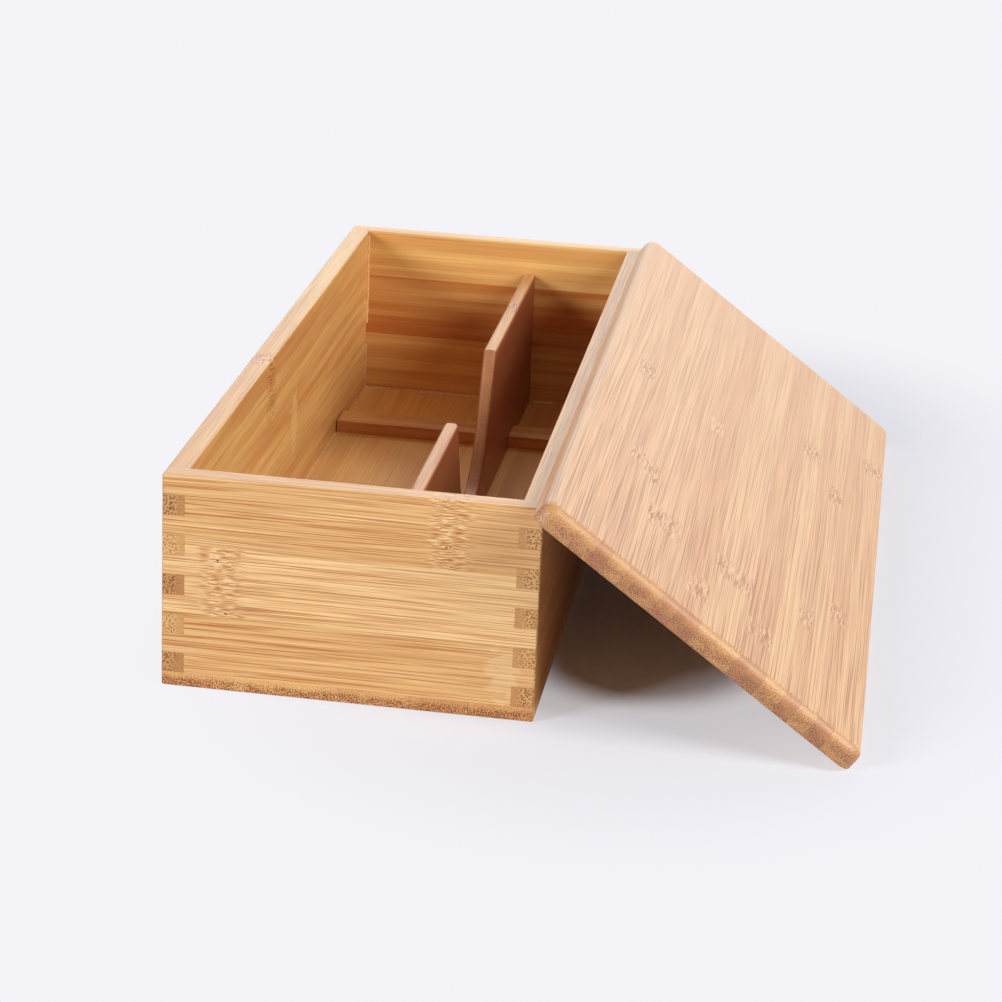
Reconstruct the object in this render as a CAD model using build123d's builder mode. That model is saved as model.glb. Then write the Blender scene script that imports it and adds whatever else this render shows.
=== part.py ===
from build123d import *
import math
import os

os.makedirs("parts", exist_ok=True)

# Bamboo cutlery storage box with a loose lid and a divider that lifts out on cross bars.
# Millimetres, +Z up. The origin is the middle of the underside of the box, on the table.
# +Y runs along the long side, away from the viewer, and the lid leans on the +X wall.

# Box: four finger-jointed walls with a thin board glued flush under them
box_width = 115.0
box_length = 295.0
wall_thickness = 7.0
finger_height = 6.4
finger_count = 10
bottom_thickness = 4.7
arris_radius = 0.7

# Divider: a scooped board that stands on the floor, right of the middle
divider_x = 13.2
divider_thickness = 4.8
divider_height = 52.0
divider_edge_radius = 1.6
divider_end_gap = 0.6
scoop_offset = -2.0
scoop_radius = 34.0
scoop_side_angle = 65.6
scoop_web = 8.6
scoop_lip_radius = 3.0

# Cross bars: glued into the foot of the divider, they lie from wall to wall on the floor.
# They keep the divider upright and in its place, and lift out with it.
crossbar_width = 12.4
crossbar_thickness = 4.7
crossbar_inset = 50.0
crossbar_end_gap = 0.4
crossbar_arris = 0.4

# Lid: a flat board that overhangs the box, with two battens that drop inside its mouth
lid_overhang = 2.5
lid_thickness = 7.5
lid_corner_radius = 4.5
lid_edge_radius = 3.6
lid_under_arris = 0.4
batten_thickness = 4.0
batten_width = 18.0
batten_clearance = 1.0
batten_chamfer = 0.8

# Lean of the lid: how far it stands past the rim, and how far it lies towards the front
lid_past_rim = 2.5
lid_forward = 10.4

# Sizes that follow from the ones above
wall_height = finger_count * finger_height
box_height = bottom_thickness + wall_height
floor_z = bottom_thickness
inner_width = box_width - 2 * wall_thickness
inner_length = box_length - 2 * wall_thickness
lid_width = box_width + 2 * lid_overhang
lid_length = box_length + 2 * lid_overhang


def finish(piece, name):
    """Label one finished piece and write it as its own file."""
    piece.part.label = name
    export_step(piece.part, f"parts/{name}.step")


# The glued box as one form: its outer edges and the inner edges of its rim are eased in
# one pass after gluing, so every wall and the bottom board are cut out of this form.
with BuildPart() as box_form:
    with BuildSketch(Plane.XY):
        Rectangle(box_width, box_length)
    extrude(amount=box_height)
    fillet(box_form.edges(), radius=arris_radius)
    with BuildSketch(Plane.XY.offset(floor_z)):
        Rectangle(inner_width, inner_length)
    extrude(amount=wall_height, mode=Mode.SUBTRACT)
    rim_face = box_form.faces().sort_by(Axis.Z)[-1]
    fillet(rim_face.inner_wires()[0].edges(), radius=arris_radius)


# Finger joints: counted from the rim down, the end walls own fingers 0, 2, 4 and the
# long walls own fingers 1, 3, 5, so the top finger of an end wall hides the joint.
def finger_centres(first):
    """Heights of the middle of every second finger, starting with finger first."""
    return [box_height - (i + 0.5) * finger_height for i in range(first, finger_count, 2)]


def corner_notches(first):
    """Places of the sockets at the four corners, at every second finger height."""
    across = (box_width - wall_thickness) / 2
    along = (box_length - wall_thickness) / 2
    return [
        (side * across, end * along, z)
        for side in (-1, 1)
        for end in (-1, 1)
        for z in finger_centres(first)
    ]


# End walls, front and back
for name, end in (("front_wall", -1), ("back_wall", 1)):
    wall_y = end * (box_length - wall_thickness) / 2
    with BuildPart() as end_wall:
        with BuildSketch(Plane.XY.offset(floor_z)):
            with Locations((0, wall_y)):
                Rectangle(box_width, wall_thickness)
        extrude(amount=wall_height)
        with Locations(corner_notches(1)):
            Box(wall_thickness, wall_thickness, finger_height, mode=Mode.SUBTRACT)
        add(box_form.part, mode=Mode.INTERSECT)
    finish(end_wall, name)

# Long walls, left and right
for name, side in (("left_wall", -1), ("right_wall", 1)):
    wall_x = side * (box_width - wall_thickness) / 2
    with BuildPart() as long_wall:
        with BuildSketch(Plane.XY.offset(floor_z)):
            with Locations((wall_x, 0)):
                Rectangle(wall_thickness, box_length)
        extrude(amount=wall_height)
        with Locations(corner_notches(0)):
            Box(wall_thickness, wall_thickness, finger_height, mode=Mode.SUBTRACT)
        add(box_form.part, mode=Mode.INTERSECT)
    finish(long_wall, name)

# Bottom board, flush with the outside of the walls
with BuildPart() as bottom_board:
    with BuildSketch(Plane.XY):
        Rectangle(box_width, box_length)
    extrude(amount=bottom_thickness)
    add(box_form.part, mode=Mode.INTERSECT)
finish(bottom_board, "bottom_board")

# Divider: a thin board with a wide scoop, so that fingers reach the cutlery.
# The sides of the scoop lean outwards and run into one large arc. The foot has two
# notches, as wide and as high as the cross bars that are glued into them.
divider_length = inner_length - 2 * divider_end_gap
crossbar_y = inner_length / 2 - crossbar_inset
crossbar_places = {"front": -crossbar_y, "back": crossbar_y}
scoop_centre = scoop_web + scoop_radius
scoop_end_x = scoop_radius * math.sin(math.radians(scoop_side_angle))
scoop_end_y = scoop_centre - scoop_radius * math.cos(math.radians(scoop_side_angle))
scoop_half_mouth = scoop_end_x + (divider_height - scoop_end_y) / math.tan(
    math.radians(scoop_side_angle)
)
divider_top = floor_z + divider_height
divider_plane = Plane(
    origin=(divider_x, scoop_offset, floor_z), x_dir=(0, 1, 0), z_dir=(1, 0, 0)
)
with BuildPart() as divider:
    with BuildSketch(divider_plane) as divider_outline:
        with Locations((-scoop_offset, 0)):
            Rectangle(divider_length, divider_height, align=(Align.CENTER, Align.MIN))
        with BuildLine():
            CenterArc(
                (0, scoop_centre), scoop_radius, -90 - scoop_side_angle, 2 * scoop_side_angle
            )
            Polyline(
                (scoop_end_x, scoop_end_y),
                (scoop_half_mouth, divider_height),
                (-scoop_half_mouth, divider_height),
                (-scoop_end_x, scoop_end_y),
            )
        make_face(mode=Mode.SUBTRACT)
        lips = divider_outline.vertices().filter_by(
            lambda v: v.Z > divider_top - 0.01 and abs(v.Y) < divider_length / 2 - 1
        )
        fillet(lips, radius=scoop_lip_radius)
    extrude(amount=divider_thickness / 2, both=True)
    side_edges = divider.faces().filter_by(Axis.X).edges()
    worked_edges = side_edges.filter_by(
        lambda e: e.center().Z > floor_z + 0.01
        and abs(e.center().Y) < divider_length / 2 - 0.01
    )
    fillet(worked_edges, radius=divider_edge_radius)
    with BuildSketch(Plane.XY.offset(floor_z)):
        with Locations([(divider_x, y) for y in crossbar_places.values()]):
            Rectangle(divider_thickness, crossbar_width)
    extrude(amount=crossbar_thickness, mode=Mode.SUBTRACT)
finish(divider, "divider")

# Cross bars: whole under the divider, a hair short of the long walls
for end_name, bar_y in crossbar_places.items():
    with BuildPart() as crossbar:
        with BuildSketch(Plane.XY.offset(floor_z)):
            with Locations((0, bar_y)):
                Rectangle(inner_width - 2 * crossbar_end_gap, crossbar_width)
        extrude(amount=crossbar_thickness)
        long_edges = crossbar.faces().sort_by(Axis.Z)[-1].edges().filter_by(Axis.X)
        fillet(long_edges, radius=crossbar_arris)
    finish(crossbar, f"crossbar_{end_name}")

# Lid: its lower long edge stands on the table and its underside leans on the rim of the
# right wall. The eased arris of that wall leaves a hair of air between them.
lean_angle = math.asin(box_height / (lid_width - lid_past_rim))
lid_foot_x = box_width / 2 + box_height / math.tan(lean_angle)
lid_plane = Plane(
    origin=(lid_foot_x, -lid_forward, 0),
    x_dir=(-math.cos(lean_angle), 0, math.sin(lean_angle)),
    z_dir=(math.sin(lean_angle), 0, math.cos(lean_angle)),
)
lid_axis = Axis(lid_plane.origin, lid_plane.z_dir)
with BuildPart() as lid_board:
    with BuildSketch(lid_plane):
        with Locations((lid_width / 2, 0)):
            RectangleRounded(lid_width, lid_length, lid_corner_radius)
    extrude(amount=lid_thickness)
    fillet(lid_board.faces().sort_by(lid_axis)[-1].edges(), radius=lid_edge_radius)
    fillet(lid_board.faces().sort_by(lid_axis)[0].edges(), radius=lid_under_arris)
finish(lid_board, "lid_board")

# Battens: glued across the underside of the lid, just inside the end walls when it is shut
batten_length = inner_width - 2 * batten_clearance
batten_place = inner_length / 2 - batten_clearance - batten_width / 2
for name, end in (("lid_batten_front", 1), ("lid_batten_back", -1)):
    with BuildPart() as batten:
        with BuildSketch(lid_plane):
            with Locations((lid_width / 2, end * batten_place)):
                Rectangle(batten_length, batten_width)
        extrude(amount=-batten_thickness)
        chamfer(batten.faces().sort_by(lid_axis)[0].edges(), length=batten_chamfer)
    finish(batten, name)
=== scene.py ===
# %% [markdown]
# # A bamboo cutlery box
#
# The object is a long box of laminated bamboo. Four walls meet in finger joints, a thin
# board is glued under them, a scooped divider stands inside on two cross bars, and a loose
# lid leans on the right wall. Its solids are made already, so this lesson is about the
# finish: what makes bamboo look like bamboo, and how a soft studio light shows it.
#
# We load the solids first. Their places are fixed, and all that follows is measured from
# them.

# %% Load the frame
import math
from types import SimpleNamespace

import bmesh
import bpy
from mathutils import Matrix, Vector


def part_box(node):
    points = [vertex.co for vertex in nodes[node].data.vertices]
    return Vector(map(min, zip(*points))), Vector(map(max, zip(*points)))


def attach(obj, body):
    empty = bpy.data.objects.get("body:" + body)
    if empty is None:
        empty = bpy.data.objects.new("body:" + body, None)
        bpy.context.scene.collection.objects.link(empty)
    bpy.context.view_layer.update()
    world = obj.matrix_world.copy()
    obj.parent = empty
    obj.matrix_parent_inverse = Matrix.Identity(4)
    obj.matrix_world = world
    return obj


# Blender works in metres. The patterns are drawn in millimetres, and so many make a metre.
mm = 1000

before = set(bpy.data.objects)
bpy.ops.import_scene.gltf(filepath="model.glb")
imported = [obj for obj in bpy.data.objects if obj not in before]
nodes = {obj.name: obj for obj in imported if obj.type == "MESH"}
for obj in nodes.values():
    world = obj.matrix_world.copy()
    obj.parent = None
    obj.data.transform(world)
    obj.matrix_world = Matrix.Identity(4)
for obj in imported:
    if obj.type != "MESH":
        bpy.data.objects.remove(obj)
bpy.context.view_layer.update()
print("solids:", ", ".join(sorted(nodes)))

# %% [markdown]
# Every pattern below hangs on a few places of the real object: the height of its rim and
# of its floor, the thickness of its walls, and the room between them. They could be typed
# in, but read from the solids they stay right if the box changes.

# %% Places that the patterns hang on
box_low, box_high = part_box("front_wall")
back_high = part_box("back_wall")[1]
rim_height = box_high.z
floor_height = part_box("bottom_board")[1].z
wall_thickness = box_high.y - box_low.y
inner_half_width = (box_high.x - box_low.x) / 2 - wall_thickness
inner_half_length = back_high.y - wall_thickness
print("walls are", round(wall_thickness * mm, 1), "mm thick")
print("the rim is", round(rim_height * mm, 1), "mm above the table")

# %% [markdown]
# The lid leans, so its grain runs in a tilted frame. We read the tilt from the mesh itself:
# the widest flat face of the lid is its top, and the normal of that face says how far the
# lid has turned about the long axis.

# %% The lean of the lid
def widest_normal(mesh):
    """Which way most of a mesh's area faces, among the faces that look up."""
    areas = {}
    for face in mesh.polygons:
        key = tuple(round(part, 2) for part in face.normal)
        areas[key] = areas.get(key, 0.0) + face.area
    top = max((key for key in areas if key[2] > 0), key=areas.get)
    return Vector(top).normalized()


lid_normal = widest_normal(nodes["lid_board"].data)
lid_lean = math.atan2(lid_normal.x, lid_normal.z)
lid_low, lid_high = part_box("lid_board")
lid_middle = (lid_low + lid_high) / 2
print("lid leans", round(math.degrees(lid_lean), 1), "degrees")

# %% [markdown]
# The camera stands a metre away, a little to the right of the box and above it, with a long
# lens. It is turned slightly about its own axis. It could be placed by eye, but built from
# angles each number can be read: which way it looks, how far it stands, and how far the
# middle of the picture lies from the middle of the box. Angles are in degrees.

# %% Camera
camera_azimuth = 7.585
camera_elevation = 20.409
camera_roll = 2.710
camera_distance = 1.02524
camera_aside = 0.02538
camera_above = 0.01146
focal_pixels = 2924.9
picture_pixels = 1002
sensor_width = 36.0


def direction(azimuth, elevation):
    """Azimuth 0 is towards the viewer, 90 to the right and 180 behind."""
    azimuth = math.radians(azimuth)
    elevation = math.radians(elevation)
    flat = math.cos(elevation)
    return Vector((math.sin(azimuth) * flat, -math.cos(azimuth) * flat, math.sin(elevation)))


camera_data = bpy.data.cameras.new("camera")
camera_data.sensor_width = sensor_width
camera_data.lens = sensor_width * focal_pixels / picture_pixels
camera = bpy.data.objects.new("camera", camera_data)
bpy.context.scene.collection.objects.link(camera)
bpy.context.scene.camera = camera

turned = math.radians(camera_azimuth)
rolled = math.radians(camera_roll)
back = direction(camera_azimuth, camera_elevation)
level_right = Vector((math.cos(turned), math.sin(turned), 0.0))
level_up = back.cross(level_right)
right = math.cos(rolled) * level_right + math.sin(rolled) * level_up
up = math.cos(rolled) * level_up - math.sin(rolled) * level_right
place = camera_aside * right + camera_above * up + camera_distance * back
looking = Matrix((right, up, back)).transposed().to_4x4()
camera.matrix_world = Matrix.Translation(place) @ looking
print("camera stands at", [round(part, 3) for part in place])

# %% [markdown]
# The light is plain and soft, and comes from three softboxes. The key stands low at the
# front left: it rakes over the left rim and lights the top of the back wall. A higher one
# on the right fills the lid and the left wall, and lays a soft veil on the rounded end of
# the lid. The last stands behind, and its reflection makes the sheen on the rims. One
# large lamp would be simpler, but it couldn't draw the edges of the shadows in the box.

# %% Lamps
def softbox(name, azimuth, elevation, distance, size, power):
    """A square lamp that faces the box."""
    lamp_data = bpy.data.lights.new(name, "AREA")
    lamp_data.shape = "SQUARE"
    lamp_data.size = size
    lamp_data.energy = power
    lamp = bpy.data.objects.new(name, lamp_data)
    bpy.context.scene.collection.objects.link(lamp)
    towards = direction(azimuth, elevation).normalized()
    lamp.location = towards * distance
    lamp.rotation_mode = "QUATERNION"
    lamp.rotation_quaternion = towards.to_track_quat("Z", "Y")


softbox("key_lamp", azimuth=-46, elevation=22, distance=2.5, size=0.76, power=37.5)
softbox("right_lamp", azimuth=67, elevation=32, distance=1.6, size=0.7, power=21.0)
softbox("back_lamp", azimuth=180, elevation=32, distance=1.6, size=1.5, power=9.5)

# %% [markdown]
# A material is a tree of nodes, and long formulas are hard to follow when each sum is a
# node of its own. So materials are written here as arithmetic. A small class wraps the
# output of a node, and adding or multiplying two of them adds the Math node.

# %% Arithmetic on the outputs of nodes
class Wire:
    """The value that leaves a node. Plain arithmetic on it adds Math nodes."""

    def __init__(self, sheet, socket):
        self.sheet = sheet
        self.socket = socket

    def math(self, operation, first, second=0.0):
        return self.sheet.node("ShaderNodeMath", {"operation": operation}, {0: first, 1: second})

    def __add__(self, other):
        return self.math("ADD", self, other)

    def __sub__(self, other):
        return self.math("SUBTRACT", self, other)

    def __rsub__(self, other):
        return self.math("SUBTRACT", other, self)

    def __mul__(self, other):
        return self.math("MULTIPLY", self, other)

    def __truediv__(self, other):
        return self.math("DIVIDE", self, other)

    def __abs__(self):
        return self.math("ABSOLUTE", self)

    __radd__ = __add__
    __rmul__ = __mul__

    def fraction(self):
        return self.math("FRACT", self)

    def floor(self):
        return self.math("FLOOR", self)

    def above(self, level):
        """1 above the level and 0 below it."""
        return self.math("GREATER_THAN", self, level)

    def least(self, other):
        return self.math("MINIMUM", self, other)

    def most(self, other):
        return self.math("MAXIMUM", self, other)

    def rise(self, low, high):
        """0 below low, 1 above high, with a smooth step between."""
        settings = {"interpolation_type": "SMOOTHSTEP"}
        return self.sheet.node("ShaderNodeMapRange", settings, {0: self, 1: low, 2: high})

    def fall(self, low, high):
        """1 below low, 0 above high, with a smooth step between."""
        return 1 - self.rise(low, high)

    def sibling(self, name):
        """Another output of the node that this value leaves."""
        return Wire(self.sheet, self.socket.node.outputs[name])


print("a value knows:", [name for name in vars(Wire) if not name.startswith("_")])

# %% [markdown]
# A second class stands for the whole tree. One method makes every kind of node, and the
# rest are short names for the nodes that come back often.

# %% A tree of nodes
class Sheet:
    """A node tree, of a material or of the world."""

    def __init__(self, owner):
        owner.use_nodes = True
        self.owner = owner
        self.tree = owner.node_tree
        self.tree.nodes.clear()

    def node(self, kind, settings, feeds, out=0):
        """Adds one node: its settings first, then the values or links of its sockets."""
        made = self.tree.nodes.new(kind)
        for key, value in settings.items():
            setattr(made, key, value)
        for key, value in feeds.items():
            if isinstance(value, Wire):
                self.tree.links.new(value.socket, made.inputs[key])
            else:
                made.inputs[key].default_value = value
        return Wire(self, made.outputs[out])

    def vector(self, x, y, z):
        return self.node("ShaderNodeCombineXYZ", {}, {0: x, 1: y, 2: z})

    def parts(self, vector):
        x = self.node("ShaderNodeSeparateXYZ", {}, {0: vector}, "X")
        return x, x.sibling("Y"), x.sibling("Z")

    def reach(self, x, y):
        """How far the place x, y is from zero."""
        settings = {"operation": "LENGTH"}
        return self.node("ShaderNodeVectorMath", settings, {0: self.vector(x, y, 0.0)}, "Value")

    def noise(self, vector, detail=2.0):
        feeds = {"Vector": vector, "Scale": 1.0, "Detail": detail}
        return self.node("ShaderNodeTexNoise", {}, feeds)

    def cells(self, vector, flat=False):
        """How far away the nearest of many scattered points is."""
        settings = {"voronoi_dimensions": "2D" if flat else "3D"}
        feeds = {"Vector": vector, "Scale": 1.0}
        return self.node("ShaderNodeTexVoronoi", settings, feeds, "Distance")

    def mix(self, amount, first, second):
        """Blends two colours: amount 0 gives the first, amount 1 the second."""
        feeds = {0: amount, 6: first, 7: second}
        return self.node("ShaderNodeMix", {"data_type": "RGBA"}, feeds, 2)

    def show(self, shader, kind="ShaderNodeOutputMaterial"):
        end = self.tree.nodes.new(kind)
        self.tree.links.new(shader.socket, end.inputs["Surface"])
        return self.owner


print("a sheet makes:", [name for name in vars(Sheet) if not name.startswith("_")])

# %% [markdown]
# The room behind is one pale colour. A lit backdrop would do it too, but then the light
# that makes it pale would also fall on the box. So the world shows the camera and every
# reflection that colour at full strength, and lights the surfaces with a very dim copy.

# %% World
def plain_colour(red, green, blue):
    """A colour as it is seen on a screen, 0 to 255, turned into the renderer's own scale."""
    parts = []
    for part in (red, green, blue):
        part = part / 255
        parts.append(part / 12.92 if part <= 0.04045 else ((part + 0.055) / 1.055) ** 2.4)
    return (*parts, 1.0)


pale = plain_colour(244, 243, 248)
room_strength = 0.04

world = bpy.data.worlds.new("pale_room")
bpy.context.scene.world = world
room = Sheet(world)
to_camera = room.node("ShaderNodeLightPath", {}, {}, "Is Camera Ray")
seen = to_camera + to_camera.sibling("Is Glossy Ray")
seen = (seen + to_camera.sibling("Is Transmission Ray")).least(1.0)
dim = room.node("ShaderNodeBackground", {}, {"Color": pale, "Strength": room_strength})
full = room.node("ShaderNodeBackground", {}, {"Color": pale, "Strength": 1.0})
shown = room.node("ShaderNodeMixShader", {}, {0: seen, 1: dim, 2: full})
room.show(shown, "ShaderNodeOutputWorld")
print("the room is", [round(part, 3) for part in pale[:3]], "and lights with", room_strength)

# %% [markdown]
# The floor is a plain pale disc. To the camera it glows in the colour of the room, so that
# no horizon shows. Near the box the glow gives way to the bare disc, which catches the
# shadow. It does so in two soft steps, a narrow one and a wide one, round a line on the
# floor under the lid, where the shadow is deepest.

# %% Floor
floor_radius = 3.0
floor_tone = plain_colour(233, 237, 246)
# The line under the lid: its place across the box, and its two ends along it
shade_x = 0.085
shade_front = -0.090
shade_back = 0.13
# Each step: how far from the line it begins and ends, and how much of the glow it takes
narrow_step = (0.026, 0.046)
wide_step = (0.045, 0.175)
narrow_share = 0.45

floor_mesh = bpy.data.meshes.new("floor")
disc = bmesh.new()
bmesh.ops.create_circle(disc, cap_ends=True, segments=96, radius=floor_radius)
disc.to_mesh(floor_mesh)
disc.free()
floor = bpy.data.objects.new("floor", floor_mesh)
bpy.context.scene.collection.objects.link(floor)

ground = Sheet(bpy.data.materials.new("pale_floor"))
spot_x, spot_y, spot_z = ground.parts(ground.node("ShaderNodeTexCoord", {}, {}, "Object"))
past_ends = (spot_y - shade_back).most(0.0) + (shade_front - spot_y).most(0.0)
from_line = ground.reach(spot_x - shade_x, past_ends)
bare = from_line.fall(*narrow_step) * narrow_share
bare = bare + from_line.fall(*wide_step) * (1 - narrow_share)
to_camera = ground.node("ShaderNodeLightPath", {}, {}, "Is Camera Ray")
matt = ground.node("ShaderNodeBsdfDiffuse", {}, {"Color": floor_tone})
glow = ground.node("ShaderNodeEmission", {}, {"Color": pale, "Strength": 1.0})
surface = {0: (1 - bare) * to_camera, 1: matt, 2: glow}
floor_mesh.materials.append(ground.show(ground.node("ShaderNodeMixShader", {}, surface)))
print("floor is", 2 * floor_radius, "m across")

# %% [markdown]
# Bamboo board is glued from strips. Each strip has its own tone. Its fibres run the whole
# length in thin bundles, which show as long tapering lines on the faces and as dots on the
# sawn ends. Every so often a strip has a knuckle, the place where the cane had a joint:
# there the fibres waver, and small dark specks and pale flecks stand across the strip.
#
# The tones differ with the board. The front and right walls are a pale yellow, the other
# two are deeper, partly their own colour and partly painted shade of their faces inside the
# box, the lid is pinker, and the boards inside are caramel, with a darker copy for the
# divider as painted shade.

# %% Tones of bamboo
# On a face: pale and warm are the ground, line and glint the dark and the pale fibres,
# seam the joint between two strips, and speck a speck in a knuckle. On a sawn end: sawn
# and dark are the ground, and dot a fibre that is cut across.
def tones_of(like=None, **on_screen):
    """The tones of a board. Those that aren't given are as on the board that it is like."""
    given = {name: plain_colour(*colour) for name, colour in on_screen.items()}
    return {**(like or {}), **given}


wall_tones = tones_of(
    pale=(253, 210, 146),
    warm=(220, 161, 92),
    line=(184, 104, 38),
    glint=(252, 220, 166),
    seam=(170, 112, 58),
    speck=(112, 54, 24),
    sawn=(240, 188, 118),
    dark=(196, 136, 76),
    dot=(122, 60, 22),
)
# Deeper tones for the back and left walls: partly their own colour, partly painted shade of their
# faces inside the box.
deep_and_shaded_tones = tones_of(
    like=wall_tones,
    pale=(250, 204, 124),
    warm=(194, 102, 34),
    line=(164, 88, 32),
    glint=(246, 206, 134),
)
lid_tones = tones_of(
    pale=(238, 194, 143),
    warm=(216, 158, 112),
    line=(158, 96, 56),
    glint=(242, 202, 154),
    seam=(156, 104, 70),
    speck=(104, 56, 30),
    sawn=(212, 154, 80),
    dark=(172, 104, 46),
    dot=(112, 60, 22),
)
caramel_tones = tones_of(
    pale=(255, 207, 128),
    warm=(204, 126, 58),
    line=(152, 72, 26),
    glint=(248, 202, 134),
    seam=(140, 88, 48),
    speck=(84, 44, 22),
    sawn=(220, 164, 98),
    dark=(190, 122, 62),
    dot=(92, 30, 12),
)
bottom_tones = tones_of(
    like=caramel_tones,
    sawn=(238, 186, 116),
    dark=(208, 142, 80),
    dot=(104, 44, 18),
)
# A darker, redder copy of the caramel tones for the divider: painted shade, since it stands in
# the shade of the walls and the lid.
divider_shaded_tones = tones_of(
    like=caramel_tones,
    pale=(242, 186, 122),
    warm=(192, 120, 64),
    line=(112, 38, 8),
    sawn=(190, 130, 78),
    dark=(160, 98, 50),
)
print("each board has these tones:", ", ".join(divider_shaded_tones))

# %% [markdown]
# One finish serves every board, and these are the traits in which boards differ. The values
# are those of a plain one. Lengths are in millimetres, but for the place of the board.

# %% Traits of a board
plain_board = {
    # Middle of the board in metres, how far it leans, and where its first strip begins:
    # without a number, the strips lie evenly about the middle
    "centre": (0, 0, 0),
    "turn": 0.0,
    "start": None,
    # Thickness over which its sawn ends change from one side to the other, negative where
    # the dense side is at the low end of the board's axis
    "thick": 7.0,
    # A number that shifts all its patterns
    "seed": 0.0,
    # Strength of the broad lines and of the thin ones, and a factor on both at the front
    # end and at the back end of a board as long as the lid
    "bold": 1.0,
    "fine": 1.0,
    "vivid": (1.0, 1.0),
    # How far every mark is drawn out along the grain, and how much a strip's tone drifts
    "stretch": 1.0,
    "cloudy": 0.45,
    # Half the length of a knuckle
    "knot": 7.0,
    # Sawn ends: strength of the dots, their distance, how much darker the dense side is,
    # and how far a rounding has turned where it begins to look sawn, and where it fully does
    "pores": 1.0,
    "pitch": 0.72,
    "stain": 0.0,
    "ends_from": (0.45, 0.8),
    # An axis, and how much darker the faces across it are painted: painted shade
    "deep": ("x", 0.0),
    # Lacquer: its refraction, its roughness, and how much more of it the sawn ends have
    "coat": (1.5, 0.2, 0.1),
    # A wall has fingers: how far from its middle they begin, and 1 if its own is on top
    "socket": None,
    # A pale ragged patch, thick lacquer on the front wall and a painted highlight of a glossy
    # drip on the left wall: place along and across, half size along and across, strength, and
    # whether it is on the outer face, 1, or on the inner one, 0
    "smear": None,
}
print("a board has", len(plain_board), "traits")

# %% [markdown]
# The finish could be a picture wrapped round each board, but at every edge the picture
# would break. So it is one solid pattern, worked out along the grain, across the strips
# and through the board: a line on a face runs over the edge and meets its own dot on the
# sawn end.
#
# First the object's own coordinates are turned into those of the board. On a wall, the rows
# of its finger joints are counted from the rim down.

# %% Places on a board
finger_rows = 10
finger_mm = (rim_height - floor_height) * mm / finger_rows


def place_board(board, axes):
    """Finds each point's place on the board, and which way its face looks."""
    sheet = board.sheet
    spot = sheet.node("ShaderNodeTexCoord", {}, {}, "Object")
    normal = spot.sibling("Normal")
    into_board = {"vector_type": "TEXTURE"}
    lean = (0, board.turn, 0)
    to_mm = {"Vector": spot, "Location": board.centre, "Rotation": lean, "Scale": (1 / mm,) * 3}
    spot = sheet.node("ShaderNodeMapping", into_board, to_mm)
    normal = sheet.node("ShaderNodeMapping", into_board, {"Vector": normal, "Rotation": lean})
    on_axis = dict(zip("xyz", sheet.parts(spot)))
    board.along, board.across, board.through = (on_axis[axis] for axis in axes)
    board.depth = board.through / board.thick + 0.5
    board.facing = dict(zip("xyz", sheet.parts(normal)))
    board.is_end = abs(board.facing[axes[0]]).rise(*board.ends_from)
    if board.socket:
        board.row = (rim_height * mm - board.across) / finger_mm


print("a finger is", round(finger_mm, 2), "mm high")

# %% [markdown]
# Then we find the strip that each point is in. Every joint between two strips is a step:
# where a point has passed it, the values of the next strip take over. Each strip also
# shifts its pattern, so that no two strips look alike.

# %% Strips
strip_shift = 17.3
before_first = 99


def lay_strips(board, strips):
    """Finds each point's strip: its knuckle, its tone, and the shift of its pattern."""
    if board.start is None:
        board.start = -sum(width for width, knuckle, tone in strips) / 2
    joint = board.start
    width, board.knuckle, board.tone = strips[0]
    board.own = board.seed
    board.to_joint = abs(board.across - (joint - before_first))
    for strip, following in zip(strips, strips[1:]):
        width, knuckle, tone = strip
        joint += width
        past = board.across.above(joint)
        board.knuckle = board.knuckle + past * (following[1] - knuckle)
        board.tone = board.tone + past * (following[2] - tone)
        board.own = board.own + past * strip_shift
        board.to_joint = board.to_joint.least(abs(board.across - joint))


print("each next strip shifts its pattern by", strip_shift)

# %% [markdown]
# The fibres run nearly straight. They drift a little over the length of a board, and waver
# where a knuckle is near. A knuckle isn't cut off straight either: each part of it lies a
# little nearer or farther along the strip.

# %% The run of the grain
knuckle_offset = 6
knuckle_core = (0.6, 2.0)
knuckle_waver = 0.65
fibre_drift = 2.2


def run_grain(board):
    """Finds how near each point is to a knuckle, and bends the grain."""
    sheet, along, across, own = board.sheet, board.along, board.across, board.own
    offset = sheet.noise(sheet.vector(across / 3, along / 40 + own, board.seed), 1.0) - 0.5
    board.from_knuckle = along - board.knuckle + offset * knuckle_offset
    board.near = abs(board.from_knuckle).fall(board.knot * 0.5, board.knot * 1.2)
    board.core = abs(board.from_knuckle).fall(*knuckle_core)

    drift = sheet.noise(sheet.vector(along / 120 + own, across / 16, board.seed), 0.0) - 0.5
    waves = sheet.vector(along / (1.7 * board.stretch), across / 1.6, board.through / 1.6)
    board.ripple = sheet.noise(waves, 1.0) - 0.5
    waver = board.near * board.ripple * (knuckle_waver * board.stretch)
    board.bent = across + drift * fibre_drift + waver


print("fibres drift by up to", fibre_drift / 2, "mm to either side")

# %% [markdown]
# Two kinds of pattern are laid along the bent grain. Spindles are points that are scattered
# in the wood and drawn out into long tapering bodies, and they make the fibre bundles.
# Clouds are drawn-out noise, and make all that has no clear outline. Noise alone would give
# no crisp lines, and plain stripes would be too regular.

# %% Fibre bundles and clouds
def spindles(board, length, pitch, shift, body):
    """Bundles of this length and distance: 1 in the middle of one and 0 outside.

    body says how far from its middle a bundle begins to fade, and where it ends.
    """
    far = board.along / (length * board.stretch) + board.own + shift
    spot = board.sheet.vector(far, board.bent / pitch, board.through / pitch)
    return board.sheet.cells(spot).fall(*body)


def clouds(board, length, pitch, detail=1.0):
    """Noise in patches of this length and height."""
    far = board.along / (length * board.stretch) + board.own
    spot = board.sheet.vector(far, board.bent / pitch, board.through / pitch)
    return board.sheet.noise(spot, detail)


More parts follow.
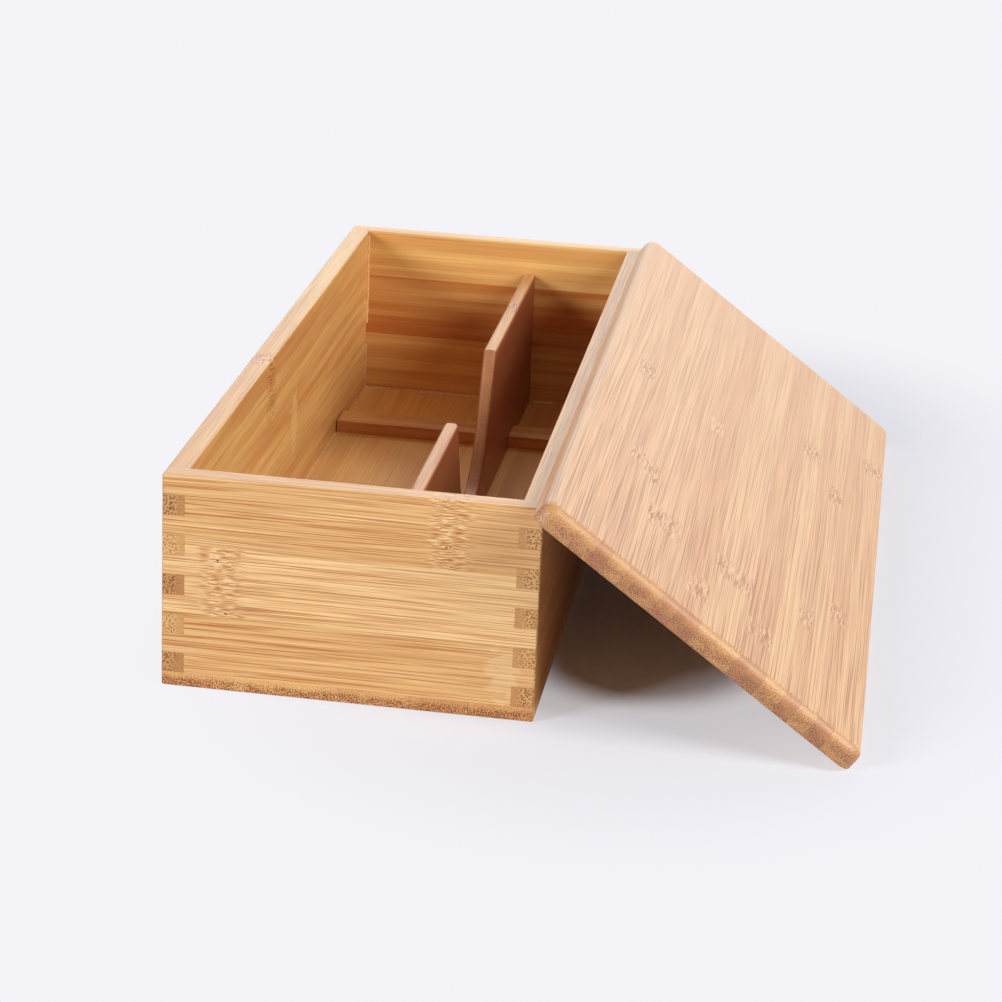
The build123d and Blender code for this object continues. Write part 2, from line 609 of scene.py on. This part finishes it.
def lay_fibres(board):
    """Lays every kind of fibre that a board has."""
    board.broad = clouds(board, length=110, pitch=4.5, detail=2.0)
    board.crowd = clouds(board, length=50, pitch=6.0)
    board.fibre = clouds(board, length=22, pitch=0.36, detail=2.0)
    board.dashes = clouds(board, length=2.8, pitch=0.32)
    board.glints = spindles(board, length=66, pitch=0.50, shift=9, body=(0.24, 0.38))
    board.threads = spindles(board, length=34, pitch=0.54, shift=3, body=(0.24, 0.34))
    board.strands = spindles(board, length=48, pitch=0.44, shift=5, body=(0.25, 0.36))
    board.lines = spindles(board, length=72, pitch=0.60, shift=0, body=(0.18, 0.26))


print("a board has four kinds of bundle and four of cloud")

# %% [markdown]
# Now the faces are painted. The ground of a strip lies between its two tones. Pale glints
# come first, then the finest fibres, then the dark lines from thin to broad, and last the
# seam between two strips.

# %% Faces
fade_length = 300.0
ground_tone = 0.6
glint_weight = 0.65
fibre_weight = 0.32
thread_weight = 0.55
strand_weight = 0.50
line_weight = 0.85
seam_weight = 0.22


def paint_face(board, tones):
    """The ground of each strip, with its pale and dark fibres and the seams."""
    mix = board.sheet.mix
    front, back = board.vivid
    vivid = board.along * ((back - front) / fade_length) + (front + back) / 2
    bold = vivid * board.bold
    fine = vivid * board.fine
    strands = board.strands * (0.3 + board.crowd.rise(0.34, 0.58) * 0.7)
    calm = 1 - board.near * 0.5

    ground = board.tone * ground_tone + board.broad.rise(0.34, 0.66) * board.cloudy
    face = mix(ground, tones["pale"], tones["warm"])
    face = mix(board.glints * bold * glint_weight, face, tones["glint"])
    face = mix(board.fibre.rise(0.46, 0.62) * fine * fibre_weight, face, tones["line"])
    face = mix(board.threads * fine * thread_weight, face, tones["line"])
    face = mix(strands * bold * strand_weight, face, tones["line"])
    face = mix(board.lines * calm * bold * line_weight, face, tones["line"])
    return mix(board.to_joint.fall(0.0, 0.22) * seam_weight, face, tones["seam"])


print("lines fade over", fade_length, "mm")

# %% [markdown]
# At a knuckle the wood is warmer, with short dark dashes and pale flecks, and a row of dark
# specks marks its middle.

# %% Knuckles
knuckle_warmth = 0.5
dash_weight = 0.7
speck_length = 2.4
speck_height = 1.5


def paint_knuckles(board, face, tones):
    """Warmer wood with dashes and flecks, and a row of specks."""
    sheet, near, dashes = board.sheet, board.near, board.dashes
    face = sheet.mix(near * board.crowd.rise(0.30, 0.60) * knuckle_warmth, face, tones["warm"])
    face = sheet.mix(dashes.rise(0.51, 0.60) * near * dash_weight, face, tones["line"])
    face = sheet.mix(dashes.fall(0.40, 0.48) * near * dash_weight, face, tones["glint"])
    far = board.from_knuckle / speck_length
    spot = sheet.vector(far, board.across / speck_height, board.through / speck_height)
    specks = sheet.cells(spot).fall(0.14, 0.25) * board.core * board.ripple.rise(-0.08, 0.04)
    return sheet.mix(specks, face, tones["speck"])


print("specks lie within", knuckle_core[1], "mm of the middle of a knuckle")

# %% [markdown]
# The sawn ends show the same bundles as dots. They stand close at the outer side of the
# cane and thin out inwards. In a finger joint each finger is cut from another strip, so
# each gets its own tone by chance.

# %% Sawn ends
fewest_dots = 0.22
outer_dots = 0.30
patchy_dots = 0.34
end_joint_weight = 0.3


def shade_end(board, dense, patch):
    """How dark the ground of a sawn end is, and how strong its dots are."""
    if not board.socket:
        return board.tone * 0.75 + patch.rise(0.40, 0.64) * 0.2, board.pores
    by_row = {"W": board.row.floor() + board.seed}
    in_line = {"noise_dimensions": "1D"}
    chance = board.sheet.node("ShaderNodeTexWhiteNoise", in_line, by_row, "Value")
    return chance * 0.8 + (1 - dense) * 0.3 + 0.1, chance * 0.4 + board.pores * 0.75


def paint_end(board, tones):
    """End grain: its ground, its dots, and the joints between strips."""
    sheet, across, through = board.sheet, board.across, board.through
    patch = sheet.noise(sheet.vector(across / 6.5 + board.own, through / 3.0, board.seed), 1.0)
    dense = board.depth.rise(0.15, 0.55)
    shade, pores = shade_end(board, dense, patch)
    shade = shade + dense * board.stain * (0.5 + patch.rise(0.30, 0.70))
    dots = sheet.cells(sheet.vector(across / board.pitch, through / board.pitch, 0.0), flat=True)
    crowding = fewest_dots + dense * (outer_dots + patch.rise(0.34, 0.60) * patchy_dots)
    end = sheet.mix(shade, tones["sawn"], tones["dark"])
    end = sheet.mix(dots.fall(0.26, 0.46) * crowding * pores, end, tones["dot"])
    return sheet.mix(board.to_joint.fall(0.0, 0.25) * end_joint_weight, end, tones["dot"])


print("where dots are fewest their strength is", fewest_dots)

# %% [markdown]
# Three things lie over faces and ends alike. Some faces are painted darker as a whole: this
# is painted shade, where they lie out of the light. Here and there a pale ragged patch
# is painted: thick lacquer on the front wall, and a painted highlight of a glossy drip on
# the left wall. And at the corners a fine line shows where one finger meets the next.

# %% Painted shade on faces, smears and painted glare, and finger joints
raggedness = 2.6
gap_weight = 0.45


# Painted shade: faces across the given axis are mixed towards the dark line tone, standing in for
# the shade on them.
def paint_face_shade(board, colour, tones):
    axis, amount = board.deep
    shaded_sides = abs(board.facing[axis]).rise(0.6, 0.95)
    return board.sheet.mix(shaded_sides * amount, colour, tones["line"])


# A pale ragged patch: thick lacquer on the front wall, and a painted highlight of a glossy drip
# on the left wall.
def add_smear_and_glare(board, colour, tones):
    sheet, along, across = board.sheet, board.along, board.across
    at_along, at_across, half_along, half_across, amount, outside = board.smear
    ragged = sheet.noise(sheet.vector(along / 5.0, across / 1.8, board.seed), 3.0) - 0.5
    away = sheet.reach((along - at_along) / half_along, (across - at_across) / half_across)
    patch = (away + ragged * raggedness).fall(0.7, 1.1)
    on_side = abs(board.depth + outside - 1).above(0.5)
    return sheet.mix(patch * on_side * amount, colour, tones["glint"])


def add_finger_lines(board, colour, tones):
    begin, top_is_own = board.socket
    in_corner = abs(board.along).above(begin)
    from_row = abs((board.row + 0.5).fraction() - 0.5) * finger_mm
    between = from_row.fall(0.05, 0.20) * in_corner * board.row.above(0.2)
    in_socket = (board.row / 2 + 0.5 * (1 - top_is_own)).fraction().above(0.5)
    beside = abs(abs(board.along) - begin).fall(0.06, 0.22) * in_socket
    return board.sheet.mix(between.most(beside) * gap_weight, colour, tones["seam"])


print("finger lines run between", finger_rows, "rows")

# %% [markdown]
# The last step turns the colour into a surface. The wood is satin under a thin coat of
# lacquer, and its lines lie a trace lower than the rest. Bump is enough for that, because
# they are far too shallow to show as a shape.

# %% Lacquer
wood_ior = 1.5
wood_roughness = 0.38
fibre_roughness = 0.10
coat_weight = 0.2
line_strength = 0.2
line_depth = 0.0001


def lacquer(board, colour):
    """Satin wood under a coat, with the lines pressed in a little."""
    coat_ior, coat_roughness, more_on_ends = board.coat
    on_ends = board.is_end * (coat_roughness - 0.26)
    height = board.lines + board.threads * 0.5 + board.dashes * board.near
    pressed = {"Strength": line_strength, "Distance": line_depth, "Height": height}
    feeds = {
        "Base Color": colour,
        "Roughness": wood_roughness + board.fibre * fibre_roughness + on_ends,
        "Normal": board.sheet.node("ShaderNodeBump", {"invert": True}, pressed, "Normal"),
        "IOR": wood_ior,
        "Coat Weight": coat_weight + board.is_end * more_on_ends,
        "Coat IOR": coat_ior,
        "Coat Roughness": coat_roughness,
    }
    return board.sheet.node("ShaderNodeBsdfPrincipled", {}, feeds)


print("lines are pressed in by", line_depth * mm, "mm at most")

# %% [markdown]
# All of it comes together in one function that gives a solid its finish. It names the axes
# along the grain, across the strips and through the board, and lists for each strip its
# width, the place of its knuckle along the grain, and its tone from 0, pale, to 1, warm.

# %% The bamboo finish
def dress(node, axes, strips, tones, **traits):
    """Gives a solid its finish."""
    board = SimpleNamespace(**{**plain_board, **traits})
    material = bpy.data.materials.new(node + "_finish")
    board.sheet = Sheet(material)
    place_board(board, axes)
    lay_strips(board, strips)
    run_grain(board)
    lay_fibres(board)
    face = paint_knuckles(board, paint_face(board, tones), tones)
    colour = board.sheet.mix(board.is_end, face, paint_end(board, tones))
    # Painted shade on faces that lie out of the light
    if board.deep[1]:
        colour = paint_face_shade(board, colour, tones)
    if board.smear:
        colour = add_smear_and_glare(board, colour, tones)
    if board.socket:
        colour = add_finger_lines(board, colour, tones)
    board.sheet.show(lacquer(board, colour))
    mesh = nodes[node].data
    mesh.materials.clear()
    mesh.materials.append(material)
    print(node, "wears", material.name, "with", len(board.sheet.tree.nodes), "nodes")


print("boards to dress:", len(nodes))

# %% [markdown]
# A wall is three strips high. Two knuckles show on the front wall and two on each long
# wall. The others are moved off the board.

# %% Walls
off_board = 190
inside = 0
outside = 1
wall_mm = wall_thickness * mm
any_wall = {"start": floor_height * mm, "stretch": 1.5, "pitch": 0.85, "cloudy": 0.4}
end_wall = {**any_wall, "axes": "xzy", "socket": (inner_half_width * mm, 1)}
long_wall = {**any_wall, "axes": "yzx", "socket": (inner_half_length * mm, 0)}
walls = {
    "front_wall": {
        **end_wall,
        "strips": [(19.5, off_board, 0.85), (22.5, -39, 0.0), (22.0, 30, 0.90)],
        "tones": wall_tones,
        "thick": -wall_mm,
        "bold": 1.0,
        "fine": 1.25,
        "vivid": (1.5, 0.5),
        "cloudy": 0.15,
        "smear": (48, 15, 5, 10, 0.3, outside),
    },
    "back_wall": {
        **end_wall,
        "strips": [(22.8, off_board, 0.25), (23.5, off_board, 0.80), (17.7, off_board, 0.08)],
        "tones": deep_and_shaded_tones,
        "thick": wall_mm,
        "bold": 0.25,
        "fine": 0.3,
    },
    "left_wall": {
        **long_wall,
        "strips": [(19.5, off_board, 0.2), (22.5, -88, 0.30), (22.0, -30, 0.20)],
        "tones": deep_and_shaded_tones,
        "thick": -wall_mm,
        "bold": 0.45,
        "fine": 0.6,
        # A painted highlight of a glossy drip of lacquer on the inside.
        "smear": (8, 34, 5, 13, 0.5, inside),
    },
    # The right wall's outer face lies in shade under the lid: its two lower strips are warm and
    # its faces across x are painted darker, as painted shade.
    "right_wall": {
        **long_wall,
        "strips": [(19.5, -20, 1.0), (22.5, 70, 0.90), (22.0, off_board, 0.60)],
        "tones": wall_tones,
        "thick": wall_mm,
        "bold": 0.6,
        "fine": 0.9,
        "deep": ("x", 0.45),
    },
}
first_wall_seed = 3.0
next_wall_seed = 2.6
for count, (node, traits) in enumerate(walls.items()):
    wall_low, wall_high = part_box(node)
    middle = (wall_low + wall_high) / 2
    traits["centre"] = (middle.x, middle.y, 0)
    traits["seed"] = first_wall_seed + next_wall_seed * count
    dress(node, **traits)

# %% [markdown]
# The board under the box is of six strips. Its sawn end runs along the foot of the front
# wall, with small close dots, and is darker towards its underside.

# %% Bottom board
bottom_strips = [
    (16, off_board, 0.4),
    (20, off_board, 0.0),
    (19, off_board, 0.0),
    (22, off_board, 0.3),
    (18, off_board, 0.7),
    (20, 50, 0.6),
]
bottom_traits = {
    "centre": (0, 0, floor_height / 2),
    "thick": -floor_height * mm,
    "seed": 21.0,
    "bold": 0.22,
    "fine": 0.4,
    "stretch": 2.0,
    "cloudy": 0.15,
    "pores": 1.3,
    "pitch": 0.58,
    "stain": 0.5,
}
dress("bottom_board", "yxz", bottom_strips, bottom_tones, **bottom_traits)

# %% [markdown]
# The divider and its cross bars are thin boards of one strip each, with a duller lacquer.
# The broad sides of the divider, and the long upright sides of the bars, are painted darker
# as painted shade, since they lie out of the light.

# %% Divider and cross bars
one_strip = [(400, 95, 0.65)]
thin_board = {"bold": 0.4, "fine": 0.6, "pores": 0.3, "coat": (1.45, 0.45, 0.1)}
# The divider's broad sides and the bars' upright sides get painted shade.
divider_traits = {**thin_board, "seed": 27.0, "deep": ("x", 0.8), "ends_from": (0.2, 0.4)}
bar_traits = {**thin_board, "seed": 33.0, "deep": ("y", 0.5)}
dress("divider", "yzx", one_strip, divider_shaded_tones, **divider_traits)
for node in ("crossbar_front", "crossbar_back"):
    dress(node, "xyz", one_strip, caramel_tones, **bar_traits)

# %% [markdown]
# The lid has fourteen narrow staves. Its lines are stronger at the near end and fade
# towards the far one. The lacquer on its rounded ends is thick and broadly matt, so the
# lamp on the right lays a milky veil over them.

# %% Lid
lid_staves = [
    (13.0, off_board, 0.30),
    (7.0, 12, 0.40),
    (5.0, -64, 0.90),
    (6.5, -70, 0.20),
    (12.5, -100, 0.45),
    (6.0, 11, 0.65),
    (8.0, -127, 0.90),
    (14.7, -98, 0.15),
    (10.0, -124, 0.85),
    (7.6, 60, 0.05),
    (5.5, -87, 0.70),
    (6.4, 35, 0.20),
    (6.3, -65, 0.75),
    (11.5, 90, 0.30),
]
lid_traits = {
    "centre": tuple(lid_middle),
    "turn": lid_lean,
    "thick": -14.0,
    "bold": 0.4,
    "fine": 1.1,
    "vivid": (1.35, 0.45),
    "stretch": 2.4,
    "cloudy": 0.25,
    "knot": 8.5,
    "pores": 1.1,
    "pitch": 0.6,
    "stain": 0.3,
    "ends_from": (0.2, 0.4),
    "coat": (1.8, 0.55, 0.7),
}
dress("lid_board", "yxz", lid_staves, lid_tones, seed=41.0, **lid_traits)
for node in ("lid_batten_front", "lid_batten_back"):
    dress(node, "xyz", one_strip, lid_tones, seed=47.0, **lid_traits)

# %% [markdown]
# Where the boards meet inside, a thin bead of glue was squeezed out and has dried. It
# follows the corners, with gaps. A tube could be drawn along each corner by hand, but
# Geometry Nodes make all of them from a few numbers: lines become a tube, some stretches
# are left out at random, and the rest swells a little here and there.

# %% Inputs of the tree that lays a bead
bead_sockets = {
    "Lines": "NodeSocketGeometry",
    "Radius": "NodeSocketFloat",
    "Step": "NodeSocketFloat",
    "Points": "NodeSocketInt",
    "Sides": "NodeSocketInt",
    "Lump Scale": "NodeSocketFloat",
    "Lump Level": "NodeSocketFloat",
    "Lump Share": "NodeSocketFloat",
    "Gaps": "NodeSocketFloat",
    "Seed": "NodeSocketInt",
    "Material": "NodeSocketMaterial",
}
print("the bead has", len(bead_sockets), "inputs")

# %% A tree that lays a bead along lines
def bead_tree(name):
    """A Geometry Nodes tree. Its inputs have names and are set by their identifiers."""
    tree = bpy.data.node_groups.new(name, "GeometryNodeTree")
    for label, kind in bead_sockets.items():
        tree.interface.new_socket(label, in_out="INPUT", socket_type=kind)
    tree.interface.new_socket("Bead", in_out="OUTPUT", socket_type="NodeSocketGeometry")

    def add(kind, feeds, **settings):
        """Adds one node, with its settings, and feeds its sockets with values or outputs."""
        made = tree.nodes.new(kind)
        for key, value in settings.items():
            setattr(made, key, value)
        for key, value in feeds.items():
            if isinstance(value, bpy.types.NodeSocket):
                tree.links.new(value, made.inputs[key])
            else:
                made.inputs[key].default_value = value
        return made.outputs

    given = tree.nodes.new("NodeGroupInput").outputs
    path = add("GeometryNodeMeshToCurve", {"Mesh": given["Lines"]})[0]
    steps = {"Curve": path, "Length": given["Step"]}
    path = add("GeometryNodeResampleCurve", steps, mode="LENGTH")[0]
    path = add("GeometryNodeCurveToMesh", {"Curve": path})[0]
    chance = {"Probability": given["Gaps"], "Seed": given["Seed"]}
    dropped = add("FunctionNodeRandomValue", chance, data_type="BOOLEAN")[3]
    stretches = {"Geometry": path, "Selection": dropped}
    path = add("GeometryNodeDeleteGeometry", stretches, domain="EDGE")[0]
    path = add("GeometryNodeMeshToCurve", {"Mesh": path})[0]
    path = add("GeometryNodeResampleCurve", {"Curve": path, "Count": given["Points"]})[0]
    circle = {"Resolution": given["Sides"], "Radius": given["Radius"]}
    ring = add("GeometryNodeCurvePrimitiveCircle", circle)[0]
    sweep = {"Curve": path, "Profile Curve": ring, "Fill Caps": True}
    tube = add("GeometryNodeCurveToMesh", sweep)[0]
    lumps = add("ShaderNodeTexNoise", {"Scale": given["Lump Scale"], "Detail": 1.0})[0]
    lumps = add("ShaderNodeMath", {0: lumps, 1: given["Lump Level"]}, operation="SUBTRACT")[0]
    lumps = add("ShaderNodeMath", {0: lumps, 1: given["Radius"]}, operation="MULTIPLY")[0]
    lumps = add("ShaderNodeMath", {0: lumps, 1: given["Lump Share"]}, operation="MULTIPLY")[0]
    outward = add("GeometryNodeInputNormal", {})[0]
    swell = add("ShaderNodeVectorMath", {0: outward, "Scale": lumps}, operation="SCALE")[0]
    tube = add("GeometryNodeSetPosition", {"Geometry": tube, "Offset": swell})[0]
    tube = add("GeometryNodeRealizeInstances", {"Geometry": tube})[0]
    tube = add("GeometryNodeSetMaterial", {"Geometry": tube, "Material": given["Material"]})[0]
    tree.links.new(tube, tree.nodes.new("NodeGroupOutput").inputs[0])
    return tree


glue_bead = bead_tree("glue_bead")
print("its tree has", len(glue_bead.nodes), "nodes")

# %% [markdown]
# The lines of the glue run up the four corners and round the floor. Each lies a trace
# inside the corner, so that about half of the bead is sunk in the wood. The beads stop
# short of the cross bars and of the divider, which lift out.

# %% Lines of the glue
bead_reach = 0.00015
lift_out_margin = 0.0015
rim_margin = 0.002
bar_low, bar_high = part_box("crossbar_back")
divider_low, divider_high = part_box("divider")
corner_x = inner_half_width - bead_reach
corner_y = inner_half_length - bead_reach
corner_z = floor_height + bead_reach
bead_top = rim_height - rim_margin
along_walls = (
    (-corner_y, -bar_high.y - lift_out_margin),
    (-bar_low.y + lift_out_margin, bar_low.y - lift_out_margin),
    (bar_high.y + lift_out_margin, corner_y),
)
across_ends = (
    (-corner_x, divider_low.x - lift_out_margin),
    (divider_high.x + lift_out_margin, corner_x),
)
bead_points = []
for side in (-1, 1):
    for end in (-1, 1):
        bead_points.append((side * corner_x, end * corner_y, corner_z))
        bead_points.append((side * corner_x, end * corner_y, bead_top))
    for start, stop in along_walls:
        bead_points.append((side * corner_x, start, corner_z))
        bead_points.append((side * corner_x, stop, corner_z))
    for start, stop in across_ends:
        bead_points.append((start, side * corner_y, corner_z))
        bead_points.append((stop, side * corner_y, corner_z))
bead_edges = [(first, first + 1) for first in range(0, len(bead_points), 2)]
print("the glue follows", len(bead_edges), "lines")

# %% [markdown]
# Dried glue is paler than bamboo and smooth. A soft cloud lets some of the wood's own
# colour into it. The tree runs once, and its result becomes a plain mesh that stays with
# the box.

# %% Glue beads
glue_woody = plain_colour(222, 168, 106)
glue_milky = plain_colour(244, 208, 156)
glue_ior = 1.48


def glue(name):
    """The finish of dried glue."""
    sheet = Sheet(bpy.data.materials.new(name))
    spot = sheet.node("ShaderNodeTexCoord", {}, {}, "Object")
    cloud = sheet.noise(sheet.node("ShaderNodeMapping", {}, {"Vector": spot, "Scale": (mm,) * 3}))
    colour = sheet.mix(cloud.rise(0.35, 0.65), glue_woody, glue_milky)
    feeds = {"Base Color": colour, "Roughness": 0.24 + cloud * 0.2, "IOR": glue_ior}
    return sheet.show(sheet.node("ShaderNodeBsdfPrincipled", {}, feeds))


def grow(name, tree, points, edges, inputs):
    """Runs a tree on a set of lines and returns a plain mesh object."""
    line_mesh = bpy.data.meshes.new(name + "_lines")
    line_mesh.from_pydata(points, edges, [])
    maker = bpy.data.objects.new(name + "_lines", line_mesh)
    bpy.context.scene.collection.objects.link(maker)
    modifier = maker.modifiers.new("grow", "NODES")
    modifier.node_group = tree
    for socket in tree.interface.items_tree:
        if socket.in_out == "INPUT" and socket.name in inputs:
            modifier[socket.identifier] = inputs[socket.name]
    seen_by = bpy.context.evaluated_depsgraph_get()
    mesh = bpy.data.meshes.new_from_object(maker.evaluated_get(seen_by), depsgraph=seen_by)
    bpy.data.objects.remove(maker)
    bpy.data.meshes.remove(line_mesh)
    mesh.name = name
    piece = bpy.data.objects.new(name, mesh)
    bpy.context.scene.collection.objects.link(piece)
    return piece


bead_inputs = {
    "Radius": 0.0005,
    "Step": 0.008,
    "Points": 6,
    "Sides": 8,
    "Lump Scale": 160.0,
    "Lump Level": 0.55,
    "Lump Share": 1.2,
    "Gaps": 0.1,
    "Seed": 4,
    "Material": glue("dried_glue"),
}
beads = grow("glue_beads", glue_bead, bead_points, bead_edges, bead_inputs)
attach(beads, "box")
print("glue beads:", len(beads.data.polygons), "faces")

# %% [markdown]
# The last line sets the plain Standard view, so that colours show as they are written.

bpy.context.scene.view_settings.view_transform = "Standard"
